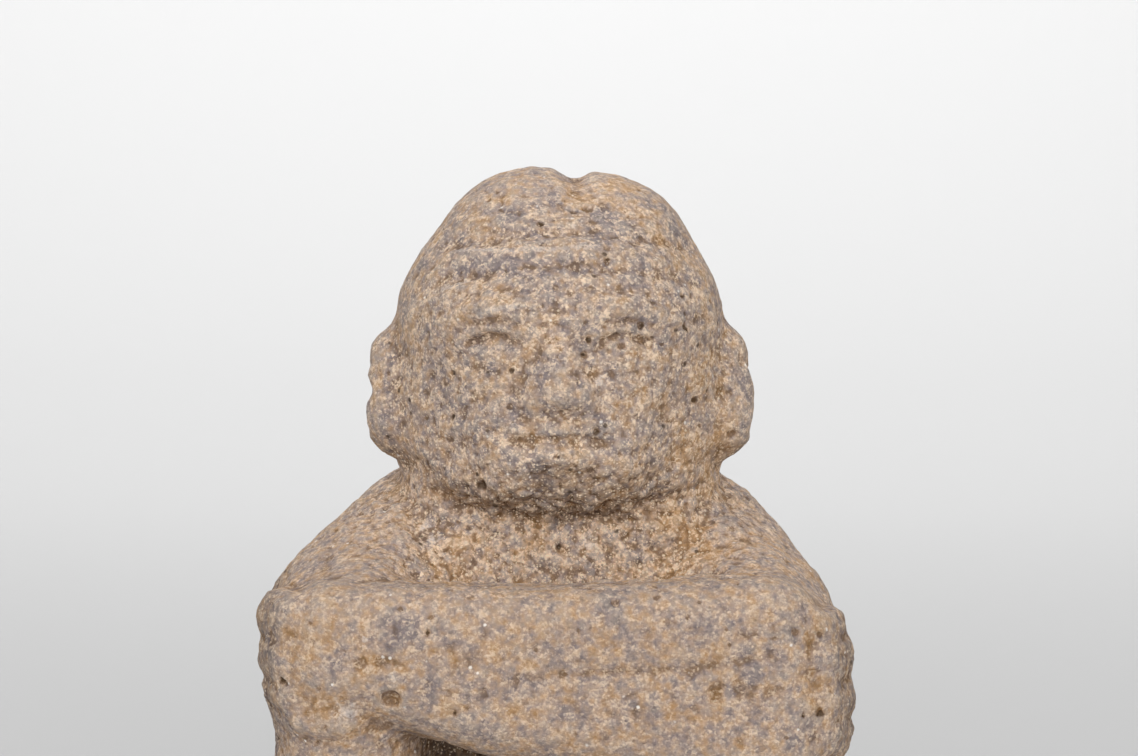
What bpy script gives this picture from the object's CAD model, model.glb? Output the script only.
"""The looks of a seated shaman figure carved from one piece of grainy volcanic stone.

The solid is remade as a fine mesh, its carving is cut again, and the stone's lumps, grains, pits
and dents are raised in it. The stone itself, the floor, the light and the camera follow.
"""

import itertools
import math

import bpy
import numpy as np
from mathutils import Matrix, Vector
from mathutils.bvhtree import BVHTree
from mathutils.kdtree import KDTree


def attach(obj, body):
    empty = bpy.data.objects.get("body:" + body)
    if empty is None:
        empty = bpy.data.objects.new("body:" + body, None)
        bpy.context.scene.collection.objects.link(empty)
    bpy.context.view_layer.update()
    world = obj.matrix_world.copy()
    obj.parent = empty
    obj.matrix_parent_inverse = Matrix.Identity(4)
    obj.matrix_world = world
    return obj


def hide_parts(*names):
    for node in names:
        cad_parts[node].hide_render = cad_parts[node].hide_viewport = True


MM = 0.001
LEFT, RIGHT = 1, -1

# The photograph's view: the camera stands in front of the face and looks slightly down
PHOTO_WIDTH, PHOTO_HEIGHT = 1138, 756
MM_PER_PIXEL = 0.155
CAMERA_DISTANCE = 600 * MM
CAMERA_DROP = math.radians(3.0)
AIMED_AT = Vector((1.55, -24, 107.4)) * MM
FLOOR_SHADE, RISE_SHADE, WALL_SHADE = 0.56, 0.672, 0.825
TOWARDS_CAMERA = Vector((0, -math.cos(CAMERA_DROP), math.sin(CAMERA_DROP)))

# The fine mesh. Sizes and places on the surface are in millimetres
CUTTING_STEP = 0.46 * MM
FACET_WEAR = 22
TRIANGLES = 190000
RANDOM_PITS = 420
SHELTER_RAYS = 40
GOLDEN_ANGLE = 2.39996
SHELTER_REACH = 26.0

# Heights above the ground, and distances to the sides, where one part of the figure gives way to another
BASE_TOP = 8.0
UNDER_FOREARMS = 60.0
NECK_FROM, NECK_TO = 74, 90
SHOULDERS_UP_TO = 88
CROWN_FROM = 131
ARMS_OUTER_SIDE = 41


def as_mesh(obj):
    """The object's mesh as its modifiers leave it, in place of its own, and the modifiers removed."""
    graph = bpy.context.evaluated_depsgraph_get()
    worked = bpy.data.meshes.new_from_object(obj.evaluated_get(graph))
    obj.modifiers.clear()
    obj.data = worked
    return worked


def fine_copy(solid):
    """A copy of the solid as an even, fine mesh, with its facets worn away."""
    stone = bpy.data.objects.new("carved_stone", solid.data.copy())
    bpy.context.scene.collection.objects.link(stone)
    even = stone.modifiers.new("even", "REMESH")
    even.mode = "VOXEL"
    even.voxel_size = CUTTING_STEP
    worn = stone.modifiers.new("worn", "SMOOTH")
    worn.factor = 0.5
    worn.iterations = FACET_WEAR
    as_mesh(stone)
    return stone


def points_of(mesh):
    at = np.empty(len(mesh.vertices) * 3)
    mesh.vertices.foreach_get("co", at)
    return at.reshape(-1, 3) / MM


def normals_of(mesh):
    out = np.empty(len(mesh.vertices) * 3)
    mesh.vertex_normals.foreach_get("vector", out)
    return out.reshape(-1, 3)


def move_points(mesh, at):
    mesh.vertices.foreach_set("co", (at * MM).ravel())
    mesh.update()


def surface_of(mesh, at):
    """A search tree over the mesh's faces, in millimetres."""
    return BVHTree.FromPolygons([Vector(p) for p in at], [tuple(p.vertices) for p in mesh.polygons])


def chance(cells, seed):
    """A repeatable random number from 0 to 1 for each cell of a grid."""
    x, y, z = (cells[..., k].astype(np.int64).astype(np.uint64) for k in range(3))
    mixed = x * np.uint64(73856093) ^ y * np.uint64(19349663) ^ z * np.uint64(83492791)
    mixed = (mixed ^ np.uint64(seed * 2654435 + 97)) & np.uint64(0xFFFFFFFF)
    for shift, factor in ((15, 739982445), (12, 695872825)):
        mixed = ((mixed ^ (mixed >> np.uint64(shift))) * np.uint64(factor)) & np.uint64(0xFFFFFFFF)
    mixed ^= mixed >> np.uint64(15)
    return mixed.astype(np.float64) / 0xFFFFFFFF


def cloud(at, size, seed, layers=3):
    """Soft lumps of the given size in millimetres, from about -1 to 1, with finer layers on top."""
    total, strength = 0.0, 1.0
    for layer in range(layers):
        scaled = at * (2.03**layer / size) + 31.7 * (seed + layer)
        cell = np.floor(scaled)
        inside = scaled - cell
        inside = inside * inside * (3 - 2 * inside)
        values = 0.0
        for corner in itertools.product((0, 1), repeat=3):
            share = np.prod(np.where(corner, inside, 1 - inside), axis=1)
            values = values + share * chance(cell + corner, seed + layer)
        total = total + strength * (2 * values - 1)
        strength *= 0.5
    return total


def grains(at, size, seed):
    """Packed grains of one size: each point's distance to its grain's middle, and the grain's number."""
    scaled = at / size
    cell = np.floor(scaled)
    nearest = np.full(len(at), 9.0)
    which = np.zeros(len(at))
    for step in itertools.product((-1, 0, 1), repeat=3):
        there = cell + step
        middle = there + np.stack([chance(there, seed + k) for k in range(3)], axis=1)
        away = np.linalg.norm(scaled - middle, axis=1)
        which = np.where(away < nearest, chance(there, seed + 3), which)
        nearest = np.minimum(nearest, away)
    return nearest, which


def smooth_curve(points, samples=8):
    """Points along a smooth curve through the given points."""
    points = [Vector(p) for p in points]
    ends = [2 * points[0] - points[1], *points, 2 * points[-1] - points[-2]]
    curve = []
    for a, b, c, d in zip(ends, ends[1:], ends[2:], ends[3:]):
        for step in range(samples):
            t = step / samples
            curve.append(0.5 * (2 * b + (c - a) * t + (2 * a - 5 * b + 4 * c - d) * t**2
                                + (3 * b - a - 3 * c + d) * t**3))
    return [*curve, points[-1]]


def groove(at, surface, points, half_width, depth, fade=0.15):
    """How deep a worn groove along a line on the surface cuts at each point, in millimetres.

    Heights are counted up from the top of the base. A negative depth raises a rib.
    """
    line = [Vector((x, y, z + BASE_TOP)) for x, y, z in points]
    line = np.array([surface.find_nearest(p)[0] for p in smooth_curve(line)])
    run = np.concatenate([[0], np.cumsum(np.linalg.norm(np.diff(line, axis=0), axis=1))])
    run /= run[-1]
    boxed = (at > line.min(0) - half_width) & (at < line.max(0) + half_width)
    near = np.all(boxed, axis=1).nonzero()[0]
    away = np.full(len(near), np.inf)
    strength = np.zeros(len(near))
    for start, end, run_start, run_end in zip(line, line[1:], run, run[1:]):
        along = end - start
        share = np.clip((at[near] - start) @ along / max(along @ along, 1e-9), 0, 1)
        gap = np.linalg.norm(at[near] - start - share[:, None] * along, axis=1)
        reached = run_start + share * (run_end - run_start)
        faded = np.clip(np.minimum(reached, 1 - reached) / fade, 0, 1)
        strength = np.where(gap < away, faded, strength)
        away = np.minimum(away, gap)
    cut = np.zeros(len(at))
    profile = 0.5 + 0.5 * np.cos(math.pi * np.minimum(away / half_width, 1))
    cut[near] = strength * profile * depth
    return cut


def headband(height, front):
    """A line across the forehead from temple to temple, a little lower on the figure's left."""
    return ((-21, front + 8.5, height - 3), (-11, front + 1.5, height - 0.9), (2, front, height),
            (12, front + 2, height - 0.7), (22, front + 11, height - 3.2))


HEADBAND = (headband(121.3, -17.2), headband(116.3, -21))
PARTING = ((3.2, -13, 125), (2.6, -6, 131), (2.4, 2, 134), (2, 17, 124), (1, 25, 106), (0, 22, 90))
FOREARM_LINE = ((-10, -38, 53.4), (3, -38, 55.0), (20, -38, 55.6), (39, -38, 58.8))
BETWEEN_FINGERS = ((LEFT, (59.4, 53.0, 46.9)), (RIGHT, (59.4, 53.0, 48.9)))
EYES, LIPS = 105.5, 89.2
TOES = (22.4, 25.6, 28.8, 32.0)

# The folds where the neck meets the shoulders, by pixel of the photograph
NECK_FOLDS = (
    ((400, 482), (410, 502), (417, 535), (423, 568)), ((708, 470), (703, 500), (706, 535), (703, 566)),
)


def carving(at, spots):
    """The figure's carved lines, cut again where the fine mesh was smoothed."""
    cut = np.zeros(len(at))

    def line(points, half_width, depth, fade=0.15):
        nonlocal cut
        cut += groove(at, spots.surface, points, half_width, depth, fade)

    line(PARTING, 2.2, 0.3)
    for band in HEADBAND:
        line(band, 2.4, 0.4)
        line(band[1:], 3.0, -0.5, fade=0.5)
    for side in (LEFT, RIGHT):
        line([(side * 31, -4, 103), (side * 32, 0.5, 97), (side * 31, -3, 89)], 1.8, 0.6)
        eye = [(side * 5.2, -24, EYES - 0.4), (side * 10.4, -24, EYES + 0.3),
               (side * 15.6, -20, EYES - 0.6)]
        line([(x, y, z - 0.7) for x, y, z in eye], 1.3, 1.0)
        line([(x, y, z + 2.2) for x, y, z in eye], 1.2, 0.4)
        for across in TOES:
            toe = [(side * across, -38, 1), (side * across, -32, 6.5), (side * across, -25, 8)]
            line(toe, 1.1, 0.5)
    line([(-9.5, -24, LIPS + 0.1), (0, -27, LIPS - 0.3), (9.5, -24, LIPS + 0.1)], 1.4, 1.1)
    line(FOREARM_LINE, 1.5, 0.3, fade=0.3)
    for side, heights in BETWEEN_FINGERS:
        for height in heights:
            line([(side * 41, -32, height), (side * 45, -26, height), (side * 46.5, -20, height),
                  (side * 44.5, -13, height)], 1.4, 0.25)
    for fold in NECK_FOLDS:
        middles = [at[spots.at_pixel(x, y)] for x, y in fold]
        line([(x, y, z - BASE_TOP) for x, y, z in middles], 2.8, 0.7, fade=0.3)
    return cut


class Shelter:
    """How closed in the solid is, from 0 in the open to 1 in a deep hollow, from rays cast off it."""

    def __init__(self, solid):
        corners, outward = points_of(solid.data), normals_of(solid.data)
        surface = surface_of(solid.data, corners)
        turns = GOLDEN_ANGLE * np.arange(SHELTER_RAYS)
        height = (np.arange(SHELTER_RAYS) + 0.5) / SHELTER_RAYS
        level = np.sqrt(1 - height**2)
        rays = np.stack([level * np.cos(turns), level * np.sin(turns), height], axis=1)
        self.blocked = np.zeros(len(corners))
        self.corners = KDTree(len(corners))
        for index, (corner, normal) in enumerate(zip(corners, outward)):
            if not normal.any():
                continue
            self.corners.insert(corner, index)
            share = rays @ normal
            facing = np.where((share > 0)[:, None], rays, -rays)
            start = Vector(corner + 0.3 * normal)
            hits = [surface.ray_cast(start, Vector(ray), SHELTER_REACH)[0] is not None for ray in facing]
            self.blocked[index] = (np.abs(share) * hits).sum() / np.abs(share).sum()
        self.corners.balance()

    def over(self, at):
        shelter = np.zeros(len(at))
        for index, point in enumerate(at):
            found = self.corners.find_n(point, 4)
            weights = [1 / (away + 0.5) for _, _, away in found]
            shelter[index] = sum(w * self.blocked[k] for w, (_, k, _) in zip(weights, found)) / sum(weights)
        return shelter


def pixel_ray(x, y):
    """The camera's line of sight through a pixel of the photograph, in millimetres."""
    across = (x - PHOTO_WIDTH / 2) * MM_PER_PIXEL
    down = (y - PHOTO_HEIGHT / 2) * MM_PER_PIXEL
    up = Vector((0, math.sin(CAMERA_DROP), math.cos(CAMERA_DROP)))
    eye = (AIMED_AT + TOWARDS_CAMERA * CAMERA_DISTANCE) / MM
    through = AIMED_AT / MM + Vector((across, 0, 0)) - up * down
    return eye, (through - eye).normalized()


class Spots:
    """Finds the mesh points near places on the surface, with ragged instead of round edges."""

    def __init__(self, mesh, at):
        ragged = np.stack([cloud(at, 1.3, seed, 2) for seed in (81, 82, 83)], axis=1)
        self.at = at + 0.38 * ragged
        self.surface = surface_of(mesh, at)
        self.tree = KDTree(len(at))
        self.middles = KDTree(len(at))
        for index, (bent, true) in enumerate(zip(self.at, at)):
            self.tree.insert(bent, index)
            self.middles.insert(true, index)
        self.tree.balance()
        self.middles.balance()

    def at_pixel(self, x, y):
        """The mesh point seen at a pixel of the photograph, or the point nearest to that line of sight."""
        eye, sight = pixel_ray(x, y)
        found = self.surface.ray_cast(eye, sight)[0]
        if found is None:
            found = self.surface.find_nearest(eye + sight * (CAMERA_DISTANCE / MM))[0]
        return self.middles.find(found)[1]

    def reach(self, point, radius):
        """The mesh points within the radius, each with its share: 1 at the middle, 0 at the rim."""
        for _, index, away in self.tree.find_range(self.at[point], radius):
            yield index, 1 - (away / radius) ** 2

    def spread(self, marks):
        """For each mesh point, how strongly the nearest of the marks (pixel, radius) covers it."""
        cover = np.zeros(len(self.at))
        for (x, y), radius in marks:
            for index, share in self.reach(self.at_pixel(x, y), radius):
                cover[index] = max(cover[index], share)
        return cover


# Pits that stand out in the photograph, and wider dents: pixel, radius and depth in millimetres
DENT = 1.4
PHOTO_PITS = (
    ((540, 224), 0.7, 0.7), ((608, 261), 0.7, 0.7), ((584, 355), 0.8, 0.9), ((589, 339), 0.6, 0.5),
    ((682, 296), 0.6, 0.6), ((643, 326), 0.8, 0.8), ((684, 327), 0.8, 0.9), ((598, 432), 0.9, 1.0),
    ((695, 400), 0.9, 0.8), ((483, 485), 1.2, 1.0), ((494, 506), 1.2, 1.0), ((427, 632), 0.7, 0.5),
    ((455, 713), 0.7, 0.7), ((282, 681), 0.8, 0.7), ((803, 715), 0.7, 0.8), ((820, 713), 0.9, 0.7),
    ((393, 701), 1.8, 1.5), ((718, 693), 1.9, 0.6), ((360, 664), 1.6, 0.35), ((378, 662), 1.6, 0.3),
)


def pit_depths(spots, at):
    """How deep the pits cut at each point: those in the photograph, and others at random."""
    pits = [(spots.at_pixel(*pixel), radius, depth) for pixel, radius, depth in PHOTO_PITS]
    random = np.random.default_rng(5)
    for pick in random.integers(0, len(at), RANDOM_PITS):
        radius = 0.55 + 0.75 * random.random() ** 4
        pits.append((int(pick), radius, 0.7 * radius))
    cut = np.zeros(len(at))
    for point, radius, depth in pits:
        for index, share in spots.reach(point, radius):
            cut[index] = max(cut[index], depth * share)
    return cut


def rise(value, start, width):
    """From 0 up to the start to 1 at the width beyond it."""
    return np.clip((value - start) / width, 0, 1)


def raise_detail(stone, shelter):
    """Carves the lines, then gives the surface its unevenness, grain and pits."""
    mesh = stone.data
    at = points_of(mesh)
    spots = Spots(mesh, at)
    across, back, height = np.abs(at[:, 0]), at[:, 1], at[:, 2]
    above_ground = rise(height, 0, 2.5)
    head_front = rise(-back, 6, 10) * rise(height, 82, 6)
    under_chin = rise(-back, 10, 6) * np.clip(1 - np.abs(height - 87) / 7, 0, 1)
    outer_side = rise(across, ARMS_OUTER_SIDE - 1, 4)
    neck = rise(-height, -NECK_TO, 4) * rise(height, NECK_FROM, 3)
    coarse = 0.6 + np.clip(shelter * 1.5, 0, 1) + 0.5 * head_front + 1.6 * under_chin + 0.6 * outer_side
    coarse += 0.9 * neck * np.clip(shelter * 3, 0, 1)
    tooled = 0.2 * head_front * cloud(at * (0.35, 0.35, 1.0), 1.7, 91, 2)
    uneven = 0.34 * cloud(at, 16, 11, 2)
    lumps = 0.19 * cloud(at, 5.0, 23, 2) + 0.17 * cloud(at, 2.3, 37, 2)
    bent = at + 0.5 * np.stack([cloud(at, 2.2, seed, 1) for seed in (3, 4, 5)], axis=1)
    away, which = grains(bent, 1.8, 51)
    grain = 0.22 * (0.55 - away) + 0.16 * (which - 0.5)
    worn_lines = carving(at, spots) * (0.7 + 0.4 * cloud(at, 4, 71, 2))
    moved = uneven + tooled + coarse * (lumps + grain) - worn_lines - pit_depths(spots, at)
    at += normals_of(mesh) * (moved * above_ground)[:, None]
    at[:, 2] = np.maximum(at[:, 2], 0)
    move_points(mesh, at)


def lighten(stone):
    """Brings the mesh down to its number of triangles, keeping more of them where the surface is rough."""
    mesh = stone.data
    fewer = stone.modifiers.new("fewer", "DECIMATE")
    fewer.ratio = TRIANGLES / sum(len(p.vertices) - 2 for p in mesh.polygons)
    as_mesh(stone)
    stone.data.shade_smooth()


def averaged(at, edges, rounds):
    """The points after each has moved towards its neighbours' middle, that many times."""
    a, b = edges[:, 0], edges[:, 1]
    neighbours = np.bincount(a, minlength=len(at)) + np.bincount(b, minlength=len(at))
    for _ in range(rounds):
        middle = np.stack([
            np.bincount(a, at[b, k], len(at)) + np.bincount(b, at[a, k], len(at)) for k in range(3)
        ], axis=1)
        at = 0.5 * at + 0.5 * middle / neighbours[:, None]
    return at


# Where the photograph shows stains: pixel and radius in millimetres
OCHRE_MARKS = (
    ((393, 701), 1.7), ((368, 665), 3.0), ((310, 640), 5.0), ((328, 702), 4.0), ((718, 693), 2.4),
    ((660, 560), 3.6), ((682, 562), 4.6), ((702, 558), 3.6), ((672, 520), 3.8), ((695, 530), 4.0),
    ((616, 568), 2.2), ((456, 549), 2.2), ((430, 560), 2.6), ((704, 482), 3.2), ((536, 521), 2.0),
    ((678, 266), 1.8), ((703, 279), 2.0), ((658, 240), 2.0), ((624, 188), 3.0), ((577, 200), 3.2),
    ((808, 634), 2.4), ((643, 597), 1.8), ((400, 668), 3.0), ((410, 326), 2.6), ((705, 380), 6.5),
    ((722, 440), 5.0), ((690, 450), 4.0),
)
GREY_MARKS = (
    ((452, 268), 2.6), ((480, 266), 3.0), ((508, 266), 3.0), ((536, 272), 2.6), ((565, 262), 2.4),
    ((403, 632), 4.2), ((418, 648), 2.6), ((330, 660), 2.2), ((338, 680), 2.4), ((612, 604), 3.6),
    ((509, 216), 2.4), ((605, 214), 3.2), ((570, 262), 2.8), ((451, 231), 2.2), ((713, 587), 1.6),
    ((790, 635), 1.8), ((753, 676), 2.2), ((730, 696), 1.8), ((480, 730), 3.4), ((790, 735), 3.0),
)
PALE_MARKS = (
    ((350, 713), 1.6), ((342, 709), 1.4), ((425, 529), 1.3), ((434, 538), 1.3), ((365, 639), 0.8),
    ((393, 681), 0.8), ((573, 225), 0.7), ((568, 237), 0.7), ((592, 541), 2.0), ((598, 380), 1.4),
)


# Pale lines rubbed along the headband's edges, by pixel of the photograph
RUBBED_LINES = (
    ((444, 253), (480, 250), (520, 249), (565, 248), (612, 245)), ((430, 291), (452, 287), (476, 280)),
    ((470, 321), (492, 312), (530, 306)),
)


def rubbed_edges(at, spots):
    """Where the edges of the headband are rubbed pale, from 0 to 1 at each point."""
    rubbed = np.zeros(len(at))
    for pixels in RUBBED_LINES:
        middles = [at[spots.at_pixel(x, y)] for x, y in pixels]
        rubbed += groove(at, spots.surface, [(x, y, z - BASE_TOP) for x, y, z in middles], 0.8, 1.0)
    return rubbed


def note_surface(stone, shelter):
    """Stores at each point what the material needs, such as hollows, shelter, grime and the stains."""
    mesh = stone.data
    at = points_of(mesh)
    normals = normals_of(mesh)
    edges = np.empty(len(mesh.edges) * 2, int)
    mesh.edges.foreach_get("vertices", edges)
    edges = edges.reshape(-1, 2)
    near = averaged(at, edges, 4)
    spots = Spots(mesh, at)
    closed_in = shelter.over(at)
    across, back, height = np.abs(at[:, 0]), at[:, 1], at[:, 2]
    below_arms = rise(-height, -UNDER_FOREARMS, 6) * rise(closed_in, 0.25, 0.35)
    underside = np.clip(-normals[:, 2] - 0.1, 0, 0.5) * np.clip(closed_in * 4, 0, 1)
    outer_side = rise(across, ARMS_OUTER_SIDE, 4)
    forearms = rise(-back, 20, 4) * rise(-height, -80, 4)
    shoulders = rise(across, 22, 4) * rise(-height, -SHOULDERS_UP_TO, 4)
    crown = rise(height, CROWN_FROM, 5)
    side_faces = rise(normals[:, 1], -0.45, 0.3)
    grime = [below_arms, 1.3 * underside, 0.45 * outer_side, 0.21 * forearms, 0.11 * shoulders]
    smoothed = [forearms * (1 - outer_side), shoulders * (1 - outer_side), 0.9 * crown, 0.7 * side_faces]
    small_pits = [(pixel, 0.9 * radius) for pixel, radius, _ in PHOTO_PITS if radius < DENT]
    notes = {
        "hollow_near": ((near - at) * normals).sum(axis=1),
        "shelter": closed_in,
        "grime": np.maximum.reduce(grime),
        "smoothed": np.maximum.reduce(smoothed),
        "rubbed": rubbed_edges(at, spots),
        "ochre": spots.spread(OCHRE_MARKS),
        "grey": spots.spread(GREY_MARKS),
        "pale": spots.spread(PALE_MARKS),
        "pitted": spots.spread(small_pits),
    }
    for name, values in notes.items():
        mesh.attributes.new(name, "FLOAT", "POINT").data.foreach_set("value", values)


class Nodes:
    """A short way to write a material's nodes."""

    def __init__(self, material):
        material.use_nodes = True
        self.tree = material.node_tree
        self.shader = self.tree.nodes["Principled BSDF"]

    def add(self, kind, inputs=(), **settings):
        node = self.tree.nodes.new(kind)
        for name, value in settings.items():
            setattr(node, name, value)
        for name, value in dict(inputs).items():
            self.put(node.inputs[name], value)
        return node

    def put(self, socket, value):
        if isinstance(value, bpy.types.NodeSocket):
            self.tree.links.new(value, socket)
        else:
            socket.default_value = value

    def noise(self, at, scale, detail=3.0, roughness=0.6):
        return self.add("ShaderNodeTexNoise", {"Vector": at, "Scale": scale, "Detail": detail,
                                               "Roughness": roughness}).outputs["Fac"]

    def ramp(self, value, *stops):
        """A colour that changes with the value, through stops of a value and its colour."""
        first, last = stops[0][0], stops[-1][0]
        share = self.add("ShaderNodeMapRange", {"Value": value, "From Min": first, "From Max": last})
        node = self.add("ShaderNodeValToRGB", {"Fac": share.outputs["Result"]})
        ramp = node.color_ramp
        while len(ramp.elements) < len(stops):
            ramp.elements.new(1.0)
        for element, (place, colour) in zip(ramp.elements, stops):
            element.position = (place - first) / (last - first)
            element.color = (*colour, 1.0) if hasattr(colour, "__len__") else (colour, colour, colour, 1.0)
        return node.outputs["Color"]

    def mix(self, share, a, b, blend="MIX"):
        node = self.add("ShaderNodeMix", data_type="RGBA", blend_type=blend)
        self.put(node.inputs["Factor"], share)
        colours = [s for s in node.inputs if s.type == "RGBA"]
        self.put(colours[0], a)
        self.put(colours[1], b)
        return next(s for s in node.outputs if s.type == "RGBA")

    def vector(self, operation, *values):
        node = self.add("ShaderNodeVectorMath", operation=operation)
        for socket, value in zip(node.inputs, values):
            self.put(socket, value)
        return node.outputs["Vector"]

    def math(self, operation, a, b=0.0, c=0.0):
        node = self.add("ShaderNodeMath", operation=operation)
        for socket, value in zip(node.inputs, (a, b, c)):
            self.put(socket, value)
        return node.outputs["Value"]


def srgb(red, green, blue):
    """A colour given as 0 to 255 screen values, as the shader's linear values."""
    shares = (red / 255, green / 255, blue / 255)
    return tuple(c / 12.92 if c <= 0.04045 else ((c + 0.055) / 1.055) ** 2.4 for c in shares)


def rgba(red, green, blue):
    return (*srgb(red, green, blue), 1.0)


class StoneNodes(Nodes):
    """The patterns that the stone's colour and relief share. Scales are per millimetre."""

    def __init__(self, material):
        super().__init__(material)
        place = self.add("ShaderNodeTexCoord").outputs["Object"]
        at = self.add("ShaderNodeMapping", {"Vector": place, "Scale": (1000, 1000, 1000)}).outputs["Vector"]
        bend = self.add("ShaderNodeTexNoise", {"Vector": at, "Scale": 2.0, "Detail": 3.0}).outputs["Color"]
        self.ragged = self.vector("MULTIPLY_ADD", bend, (0.3, 0.3, 0.3), at)
        self.large, self.large_away = self.cells(0.7)
        self.small, self.small_away = self.cells(1.45)
        self.tiny, self.tiny_away = self.cells(2.7)
        self.patches = self.noise(at, 0.22, 2.0, 0.6)
        self.blotches = self.noise(at, 0.8, 1.0, 0.5)
        self.relief = self.noise(at, 1.5, 5.0, 0.74)
        self.shelter = self.noted("shelter")
        self.smoothed = self.noted("smoothed")
        self.plain = self.math("MULTIPLY_ADD", self.smoothed, -0.25, 1.0)

    def noted(self, name):
        """A value that the mesh keeps at each point."""
        return self.add("ShaderNodeAttribute", attribute_name=name).outputs["Fac"]

    def total(self, *terms):
        """The sum of (value, weight) terms."""
        value = 0.0
        for term, weight in terms:
            value = self.math("MULTIPLY_ADD", term, weight, value)
        return value

    def cells(self, scale):
        """A random value for each grain, and the distance to the grain's middle."""
        node = self.add("ShaderNodeTexVoronoi", {"Vector": self.ragged, "Scale": scale, "Randomness": 1.0})
        pick = self.add("ShaderNodeSeparateColor", {"Color": node.outputs["Color"]}).outputs["Red"]
        return pick, node.outputs["Distance"]

    def dots(self, scale, share, radius):
        """Soft dots in the given share of the grains."""
        pick, away = self.cells(scale)
        chosen = self.math("LESS_THAN", pick, share)
        return self.math("MULTIPLY", chosen, self.ramp(away, (radius * 0.5, 1.0), (radius, 0.0)))

    def tint(self, colour, cover, strength, shade):
        """The colour, with the shade laid over it where the cover is."""
        return self.mix(self.math("MULTIPLY", cover, strength), colour, rgba(*shade))


def ground_colour(n):
    """From blue-grey through tan to ochre, with pale flakes and the headband's rubbed edges."""
    kind = n.total((n.blotches, 0.85), (n.small, 0.02), (n.patches, 0.85), (n.noted("ochre"), 0.24),
                   (n.noted("grey"), -0.24), (n.shelter, 0.1), (n.smoothed, 0.03))
    colour = n.ramp(
        kind, (0.62, srgb(145, 132, 131)), (0.76, srgb(168, 150, 142)), (0.90, srgb(188, 163, 145)),
        (1.04, srgb(197, 164, 134)), (1.20, srgb(188, 149, 108)))
    flakes = n.total((n.noted("pale"), 1.0), (n.relief, 1.2), (n.tiny, 0.6))
    colour = n.tint(colour, n.ramp(flakes, (1.1, 0.0), (1.7, 1.0)), 0.6, (232, 220, 212))
    rubbed = n.total((n.noted("rubbed"), 1.0), (n.relief, 1.0), (n.tiny, 0.3))
    return n.tint(colour, n.ramp(rubbed, (0.9, 0.0), (1.35, 1.0)), 0.5, (222, 208, 200))


def tint_relief(n, colour):
    """Pale heights and brown hollows."""
    near = n.noted("hollow_near")
    crevice = n.ramp(n.math("MULTIPLY_ADD", near, 4.5, 0.5), (0.54, 0.0), (0.95, 1.0))
    proud = n.ramp(n.math("MULTIPLY_ADD", near, -4.5, 0.5), (0.55, 0.0), (1.0, 1.0))
    colour = n.tint(colour, proud, 0.25, (212, 198, 180))
    return n.tint(colour, crevice, 0.65, (122, 91, 58))


def shade_grains(n, colour):
    """The light and dark of single grains."""
    light = n.total((n.large, 0.22), (n.small, 0.34), (n.tiny, 0.34), (n.relief, 0.8))
    darker = n.ramp(light, (0.5, 0.68), (0.95, 1.0))
    paler = n.ramp(light, (0.9, 0.0), (1.25, 0.95))
    colour = n.mix(n.plain, colour, darker, blend="MULTIPLY")
    return n.mix(n.math("MULTIPLY", paler, n.plain), colour, rgba(242, 216, 188))


def shade_hollows(n, colour):
    """Lifts the sheltered places, which are bright in the photograph, and darkens the grimy ones."""
    lifted = n.ramp(n.shelter, (0.0, 1.0), (0.6, 1.37))
    grimy = n.ramp(n.noted("grime"), (0.0, 1.0), (1.0, (0.38, 0.34, 0.29)))
    colour = n.mix(1.0, colour, lifted, blend="MULTIPLY")
    return n.mix(1.0, colour, grimy, blend="MULTIPLY")


def add_specks(n, colour, white, pits):
    """Cream, dark and white specks, and the dark of the pits."""
    share = n.math("MULTIPLY_ADD", n.shelter, 0.2, 0.16)
    cream = n.math("MAXIMUM", n.dots(1.5, share, 0.42), n.dots(2.4, share, 0.46))
    rugged = n.math("MULTIPLY_ADD", n.smoothed, -0.65, 1.0)
    creamy = n.math("MULTIPLY", cream, rugged)
    colour = n.tint(colour, creamy, n.math("MULTIPLY_ADD", n.shelter, 0.8, 0.5), (250, 230, 204))
    flecks = n.math("MULTIPLY", n.dots(1.3, 0.12, 0.42), n.plain)
    colour = n.tint(colour, flecks, 0.5, (106, 90, 76))
    colour = n.tint(colour, white, 0.7, (255, 248, 240))
    colour = n.tint(colour, pits, 0.8, (66, 48, 30))
    marked = n.ramp(n.total((n.noted("pitted"), 1.0), (n.relief, 0.4)), (0.45, 0.0), (0.85, 1.0))
    return n.tint(colour, marked, 0.85, (70, 50, 30))


def fine_bumps(n, pits):
    """The relief that is too fine for the mesh."""
    rough = n.math("MULTIPLY", n.math("MULTIPLY_ADD", n.shelter, 0.8, 0.8),
                   n.math("MULTIPLY_ADD", n.smoothed, -0.35, 1.0))
    grain = n.math("MULTIPLY", n.relief, rough)
    height = n.total((grain, 0.62), (n.large_away, -0.12), (n.small_away, -0.24), (n.tiny_away, -0.16),
                     (n.small, 0.15), (n.tiny, 0.13), (pits, -0.5))
    bump = n.add("ShaderNodeBump", {"Height": height, "Strength": 1.0, "Distance": 0.8 * MM})
    return bump.outputs["Normal"]


def stone_material():
    """Weathered volcanic stone: grains from blue-grey to ochre, cream specks, dark pits, brown hollows."""
    material = bpy.data.materials.new("volcanic_stone")
    n = StoneNodes(material)
    white = n.dots(0.9, 0.02, 0.3)
    pits = n.math("MULTIPLY", n.dots(0.55, 0.07, 0.26), n.math("MULTIPLY_ADD", n.smoothed, -0.8, 1.0))
    colour = tint_relief(n, ground_colour(n))
    colour = shade_hollows(n, shade_grains(n, colour))
    colour = add_specks(n, colour, white, pits)
    n.put(n.shader.inputs["Base Color"], colour)
    n.put(n.shader.inputs["Roughness"], n.math("MULTIPLY_ADD", white, -0.5, 0.9))
    n.put(n.shader.inputs["Normal"], fine_bumps(n, pits))
    n.shader.inputs["Specular IOR Level"].default_value = 0.3
    return material


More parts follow.
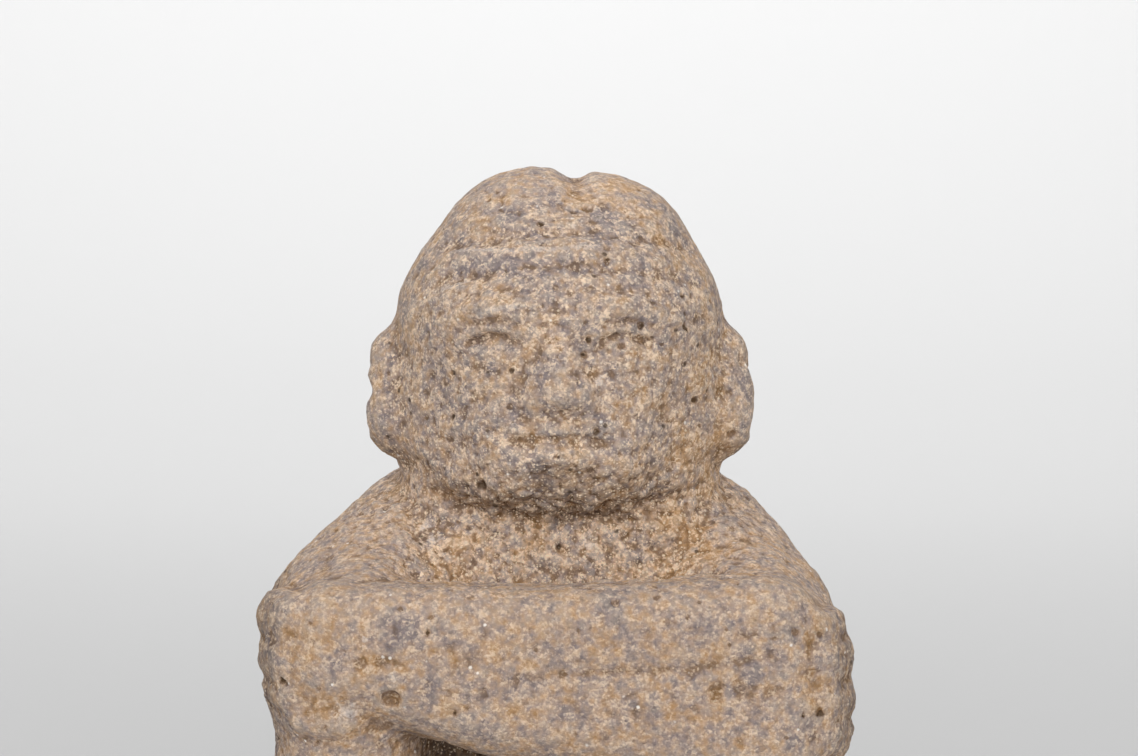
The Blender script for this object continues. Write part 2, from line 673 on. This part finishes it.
def backdrop_material():
    """Matt white paper, a little darker near the figure than where it rises behind."""
    material = bpy.data.materials.new("backdrop")
    n = Nodes(material)
    place = n.add("ShaderNodeTexCoord").outputs["Object"]
    back = n.add("ShaderNodeSeparateXYZ", {"Vector": place}).outputs["Y"]
    shade = n.ramp(
        n.math("MULTIPLY", back, 0.5), (0.15, FLOOR_SHADE), (0.58, RISE_SHADE), (0.85, WALL_SHADE))
    n.put(n.shader.inputs["Base Color"], shade)
    n.shader.inputs["Roughness"].default_value = 0.9
    n.shader.inputs["Specular IOR Level"].default_value = 0.0
    return material


def add_backdrop():
    """A pale sheet that lies flat under the figure and curves up far behind it."""
    flat_back, rise, radius, half_width = 0.9, 1.6, 0.8, 2.2
    profile = [(-1.6, 0.0), (flat_back, 0.0)]
    for step in range(1, 25):
        turn = math.pi / 2 * step / 24
        profile.append((flat_back + radius * math.sin(turn), radius * (1 - math.cos(turn))))
    profile.append((flat_back + radius, radius + rise))
    points = [(x, y, z) for y, z in profile for x in (-half_width, half_width)]
    faces = [(2 * i, 2 * i + 1, 2 * i + 3, 2 * i + 2) for i in range(len(profile) - 1)]
    mesh = bpy.data.meshes.new("backdrop")
    mesh.from_pydata(points, [], faces)
    mesh.shade_smooth()
    sheet = bpy.data.objects.new("backdrop", mesh)
    bpy.context.scene.collection.objects.link(sheet)
    sheet.data.materials.append(backdrop_material())


def add_area_light(name, place, aim, size, power, colour=(1.0, 1.0, 1.0)):
    data = bpy.data.lights.new(name, "AREA")
    data.shape = "DISK"
    data.size = size
    data.energy = power
    data.color = colour
    lamp = bpy.data.objects.new(name, data)
    lamp.location = place
    lamp.rotation_mode = "QUATERNION"
    lamp.rotation_quaternion = (Vector(aim) - Vector(place)).to_track_quat("-Z", "Y")
    bpy.context.scene.collection.objects.link(lamp)


def add_light():
    """Soft light from above and in front, with a white room round it."""
    world = bpy.data.worlds.new("white_room")
    world.use_nodes = True
    world.node_tree.nodes["Background"].inputs["Color"].default_value = (1.0, 1.0, 1.0, 1.0)
    world.node_tree.nodes["Background"].inputs["Strength"].default_value = 0.5
    bpy.context.scene.world = world
    add_area_light("front", (0.05, -1.2, 0.42), (0, 0, 0.09), 0.7, 8.7)
    add_area_light("side", (-0.95, -0.8, 0.42), (0, 0, 0.09), 0.6, 1.7)
    add_area_light("other_side", (0.95, -0.8, 0.42), (0, 0, 0.09), 0.6, 1.2)
    add_area_light("overhead", (-0.1, -0.2, 0.95), (0, 0, 0.1), 0.7, 2.0)
    add_area_light("on_backdrop", (0, 0.9, 1.5), (0, 1.7, 0.5), 1.0, 12.5)


def add_camera():
    data = bpy.data.cameras.new("photo_camera")
    data.lens = data.sensor_width * CAMERA_DISTANCE / (PHOTO_WIDTH * MM_PER_PIXEL * MM)
    data.clip_start = 0.01
    camera = bpy.data.objects.new("photo_camera", data)
    camera.location = AIMED_AT + TOWARDS_CAMERA * CAMERA_DISTANCE
    camera.rotation_mode = "QUATERNION"
    camera.rotation_quaternion = (-TOWARDS_CAMERA).to_track_quat("-Z", "Y")
    bpy.context.scene.collection.objects.link(camera)
    bpy.context.scene.camera = camera


def clear_startup_scene():
    for name in ("Cube", "Light", "Camera"):
        if name in bpy.data.objects:
            bpy.data.objects.remove(bpy.data.objects[name])


clear_startup_scene()
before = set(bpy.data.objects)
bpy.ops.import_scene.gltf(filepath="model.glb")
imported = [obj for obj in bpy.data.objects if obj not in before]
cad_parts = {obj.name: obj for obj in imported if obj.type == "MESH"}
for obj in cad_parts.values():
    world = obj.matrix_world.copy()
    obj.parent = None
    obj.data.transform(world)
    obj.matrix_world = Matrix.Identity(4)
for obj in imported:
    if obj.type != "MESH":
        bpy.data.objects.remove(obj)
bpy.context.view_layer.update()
bpy.context.scene.view_settings.view_transform = "Standard"

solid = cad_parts["shaman_figure"]
shelter = Shelter(solid)
stone = fine_copy(solid)
raise_detail(stone, shelter.over(points_of(stone.data)))
lighten(stone)
note_surface(stone, shelter)
stone.data.materials.clear()
stone.data.materials.append(stone_material())
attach(stone, "root")
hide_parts("shaman_figure")

add_backdrop()
add_light()
add_camera()
